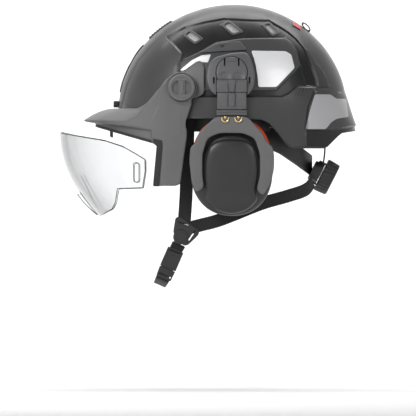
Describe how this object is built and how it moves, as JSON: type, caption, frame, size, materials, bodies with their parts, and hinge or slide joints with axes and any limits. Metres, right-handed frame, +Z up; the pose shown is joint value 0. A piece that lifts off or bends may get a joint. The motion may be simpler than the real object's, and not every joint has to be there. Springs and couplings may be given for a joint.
{
  "type": "forestry helmet",
  "caption": "Forestry helmet with a flip-up visor frame, clear slide-off face shield, swing-out ear muffs, ratchet headband and chin strap.",
  "frame": {"origin": "centre of the flat underside of the crown pad, where the head carries the helmet", "axes": "+Z up, the front of the helmet faces -X, the wearer's left side is -Y"},
  "size_m": [0.3543, 0.241, 0.3371],
  "materials": {
    "shell_gloss": "glossy moulded",
    "liner_foam": "expanded foam",
    "reflective": "reflective film",
    "dark_plastic": "fine grain",
    "grey_plastic": "fine grain",
    "steel": "turned",
    "padding": "soft padding",
    "webbing": "woven",
    "orange_plastic": "satin",
    "brass_wire": "bright",
    "clear_lens": "clear polycarbonate"
  },
  "bodies": {
    "helmet": {"outer_shell": "shell_gloss", "impact_liner": "liner_foam", "side_reflector_left": "reflective", "side_reflector_right": "reflective", "rear_reflector_left": "reflective", "rear_reflector_right": "reflective", "accessory_cover_left": "shell_gloss", "accessory_cover_right": "shell_gloss", "lamp_clip": "dark_plastic", "forehead_grip": "dark_plastic", "muff_mount_left": "grey_plastic", "muff_mount_right": "grey_plastic", "visor_bracket_left": "grey_plastic", "visor_bracket_right": "grey_plastic", "hub_pin_left": "steel", "hub_pin_right": "steel", "headband": "dark_plastic", "sweatband": "padding", "crown_pad": "padding", "crown_straps": "webbing", "front_strap_left": "webbing", "front_strap_right": "webbing", "rear_strap_left": "webbing", "rear_strap_right": "webbing", "strap_divider_left": "dark_plastic", "strap_divider_right": "dark_plastic", "lower_strap": "webbing", "buckle_socket": "dark_plastic"},
    "goggle_clip": {"goggle_clip": "dark_plastic"},
    "visor": {"visor_frame": "grey_plastic"},
    "lens": {"face_shield": "clear_lens"},
    "nape": {"nape_band": "dark_plastic", "ratchet_housing": "dark_plastic", "nape_hanger_left": "webbing", "nape_hanger_right": "webbing"},
    "ratchet": {"ratchet_knob": "dark_plastic", "ratchet_pinion": "grey_plastic"},
    "plug": {"buckle_plug": "dark_plastic", "chin_strap": "webbing"},
    "button_left": {"release_button_left": "grey_plastic"},
    "arm_left": {"muff_arm_left": "grey_plastic"},
    "slider_left": {"height_slider_left": "grey_plastic", "cup_yoke_left": "grey_plastic", "spring_wire_left": "brass_wire"},
    "cup_left": {"ear_cup_left": "dark_plastic", "cup_ring_left": "orange_plastic", "ear_cushion_left": "padding", "cup_foam_left": "padding"},
    "hub_left": {"hub_knob_left": "grey_plastic"},
    "button_right": {"release_button_right": "grey_plastic"},
    "arm_right": {"muff_arm_right": "grey_plastic"},
    "slider_right": {"height_slider_right": "grey_plastic", "cup_yoke_right": "grey_plastic", "spring_wire_right": "brass_wire"},
    "cup_right": {"ear_cup_right": "dark_plastic", "cup_ring_right": "orange_plastic", "ear_cushion_right": "padding", "cup_foam_right": "padding"},
    "hub_right": {"hub_knob_right": "grey_plastic"}
  },
  "joints": [
    {"name": "visor_flip", "type": "hinge", "parent": "helmet", "child": "visor", "pos_m": [-0.058, 0, -0.0607], "axis": [0, 1, 0], "range_deg": [0, 62]},
    {"name": "lens_fit", "type": "slide", "parent": "visor", "child": "lens", "axis": [0.9924, 0, 0.1228], "range_m": [0, 0.0395]},
    {"name": "goggle_clip_flip", "type": "hinge", "parent": "helmet", "child": "goggle_clip", "pos_m": [0.087, 0, 0.0165], "axis": [0, -1, 0], "range_deg": [0, 80]},
    {"name": "ratchet_turn", "type": "hinge", "parent": "nape", "child": "ratchet", "pos_m": [0.1093, 0, -0.1636], "axis": [0.891, 0, -0.454], "range_deg": [0, 270]},
    {"name": "nape_fit", "type": "slide", "parent": "helmet", "child": "nape", "axis": [-1, 0, 0], "range_m": [0, 0.0181]},
    {"name": "buckle_release", "type": "slide", "parent": "helmet", "child": "plug", "axis": [-0.4, 0, -0.9165], "range_m": [0, 0.03]},
    {"name": "muff_swing_left", "type": "hinge", "parent": "helmet", "child": "arm_left", "pos_m": [0.0018, -0.1115, -0.055], "axis": [-1, 0, 0], "range_deg": [0, 25]},
    {"name": "muff_height_left", "type": "slide", "parent": "arm_left", "child": "slider_left", "axis": [0, 0, -1], "range_m": [0, 0.022]},
    {"name": "cup_tilt_left", "type": "hinge", "parent": "slider_left", "child": "cup_left", "pos_m": [0.0018, -0.108, -0.172], "axis": [1, 0, 0], "range_deg": [0, 4]},
    {"name": "mount_button_left", "type": "slide", "parent": "helmet", "child": "button_left", "axis": [0, 1, 0], "range_m": [0, 0.002], "stiffness_N_per_m": 800},
    {"name": "hub_turn_left", "type": "hinge", "parent": "helmet", "child": "hub_left", "pos_m": [-0.058, -0.1112, -0.0607], "axis": [0, -1, 0], "range_deg": [0, 90]},
    {"name": "muff_swing_right", "type": "hinge", "parent": "helmet", "child": "arm_right", "pos_m": [0.0018, 0.1115, -0.055], "axis": [1, 0, 0], "range_deg": [0, 25]},
    {"name": "muff_height_right", "type": "slide", "parent": "arm_right", "child": "slider_right", "axis": [0, 0, -1], "range_m": [0, 0.022]},
    {"name": "cup_tilt_right", "type": "hinge", "parent": "slider_right", "child": "cup_right", "pos_m": [0.0018, 0.108, -0.172], "axis": [-1, 0, 0], "range_deg": [0, 4]},
    {"name": "mount_button_right", "type": "slide", "parent": "helmet", "child": "button_right", "axis": [0, -1, 0], "range_m": [0, 0.002], "stiffness_N_per_m": 800},
    {"name": "hub_turn_right", "type": "hinge", "parent": "helmet", "child": "hub_right", "pos_m": [-0.058, 0.1112, -0.0607], "axis": [0, 1, 0], "range_deg": [0, 90]}
  ],
  "couplings": [
    {"joint": "nape_fit", "follows": "ratchet_turn", "m_per_rad": 0.00382}
  ]
}
